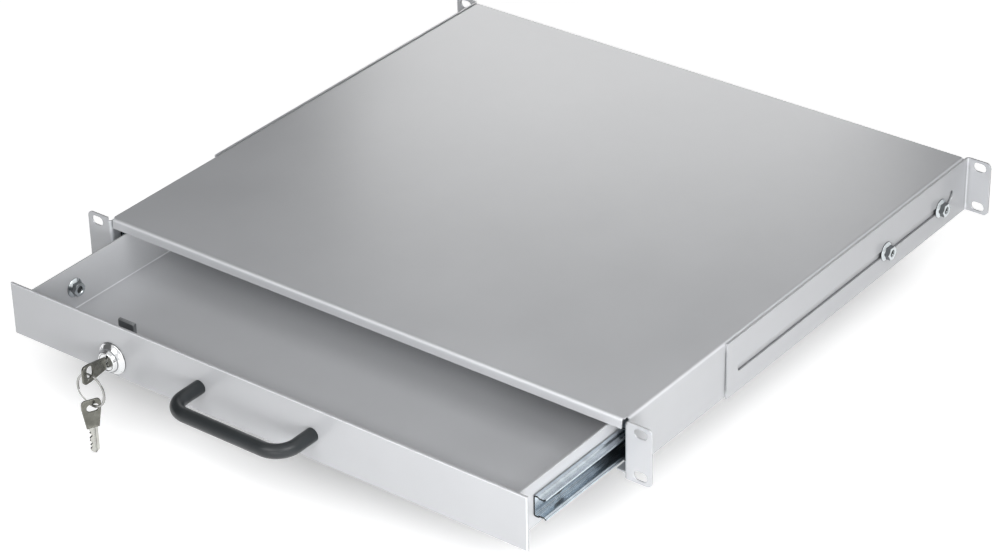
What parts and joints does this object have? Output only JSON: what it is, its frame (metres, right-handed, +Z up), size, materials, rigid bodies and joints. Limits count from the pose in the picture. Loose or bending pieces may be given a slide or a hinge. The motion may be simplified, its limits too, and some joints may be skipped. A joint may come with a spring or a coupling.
{
  "type": "rack keyboard drawer",
  "caption": "Low rack drawer for a keyboard: a sheet-steel cover with rack ears, a shallow tray on ball slides, a bow handle, a key lock and extension brackets to the rear posts.",
  "frame": {"origin": "centre of the front rack-hole pattern, on the rear faces of the front ears", "axes": "+X to the right seen from the front, +Y to the back, +Z up"},
  "size_m": [0.4826, 0.5616, 0.092],
  "materials": {
    "grey_powder_coat": "satin powder coat",
    "zinc_steel": "bright zinc",
    "ball_steel": "polished",
    "chrome": "polished",
    "nickel": "nickel plate",
    "die_cast": "dull zinc",
    "black_coat": "matt black coat",
    "rubber": "matt"
  },
  "bodies": {
    "case": {"case_shell": "grey_powder_coat", "slide_outer_left": "zinc_steel", "slide_outer_right": "zinc_steel", "slide_buffer_left": "rubber", "slide_buffer_right": "rubber", "bracket_studs_left": "zinc_steel", "bracket_studs_right": "zinc_steel", "bracket_nuts_left": "zinc_steel", "bracket_nuts_right": "zinc_steel"},
    "bracket_left": {"extension_bracket_left": "grey_powder_coat"},
    "bracket_right": {"extension_bracket_right": "grey_powder_coat"},
    "drawer": {"tray": "grey_powder_coat", "tray_rear": "grey_powder_coat", "front_panel": "grey_powder_coat", "handle": "black_coat", "handle_screws": "zinc_steel", "lock_rosette": "chrome", "lock_housing": "die_cast", "lock_cover": "die_cast", "lock_screws": "zinc_steel", "slide_inner_left": "zinc_steel", "slide_inner_right": "zinc_steel", "tray_studs_left": "zinc_steel", "tray_studs_right": "zinc_steel", "tray_nuts_left": "zinc_steel", "tray_nuts_right": "zinc_steel"},
    "ball_carriage_left": {"ball_cage_left": "zinc_steel", "slide_balls_left": "ball_steel"},
    "ball_carriage_right": {"ball_cage_right": "zinc_steel", "slide_balls_right": "ball_steel"},
    "lock_plug": {"lock_plug": "chrome"},
    "lock_bolt": {"lock_bolt": "die_cast"},
    "key": {"lock_key": "nickel"},
    "key_ring": {"key_ring": "nickel"},
    "spare_key": {"spare_key": "nickel"}
  },
  "joints": [
    {"name": "drawer_slide", "type": "slide", "parent": "case", "child": "drawer", "axis": [0, -1, 0], "range_m": [-0.098, 0.192]},
    {"name": "balls_left", "type": "slide", "parent": "case", "child": "ball_carriage_left", "axis": [0, -1, 0], "range_m": [-0.049, 0.096]},
    {"name": "balls_right", "type": "slide", "parent": "case", "child": "ball_carriage_right", "axis": [0, -1, 0], "range_m": [-0.049, 0.096]},
    {"name": "bracket_left_slide", "type": "slide", "parent": "case", "child": "bracket_left", "axis": [0, 1, 0], "range_m": [-0.005, 0.175]},
    {"name": "bracket_right_slide", "type": "slide", "parent": "case", "child": "bracket_right", "axis": [0, 1, 0], "range_m": [-0.005, 0.175]},
    {"name": "lock_turn", "type": "hinge", "parent": "drawer", "child": "lock_plug", "pos_m": [-0.126, -0.1016, -0.0076], "axis": [0, 1, 0], "range_deg": [0, 90]},
    {"name": "bolt_rise", "type": "slide", "parent": "drawer", "child": "lock_bolt", "axis": [0, 0, 1], "range_m": [0, 0.0055]},
    {"name": "key_pull", "type": "slide", "parent": "lock_plug", "child": "key", "axis": [0, -1, 0], "range_m": [0, 0.03]},
    {"name": "ring_hang", "type": "hinge", "parent": "key", "child": "key_ring", "pos_m": [-0.1257, -0.1245, -0.0129], "axis": [0, 1, 0], "range_deg": [-90, 0]},
    {"name": "spare_key_swing", "type": "hinge", "parent": "key_ring", "child": "spare_key", "pos_m": [-0.126, -0.1245, -0.0332], "axis": [1, 0, 0], "range_deg": [-50, 50]}
  ],
  "couplings": [
    {"joint": "balls_left", "follows": "drawer_slide", "ratio": 0.5},
    {"joint": "balls_right", "follows": "drawer_slide", "ratio": 0.5},
    {"joint": "bolt_rise", "follows": "lock_turn", "m_per_rad": 0.0035014},
    {"joint": "ring_hang", "follows": "lock_turn", "ratio": -1}
  ]
}
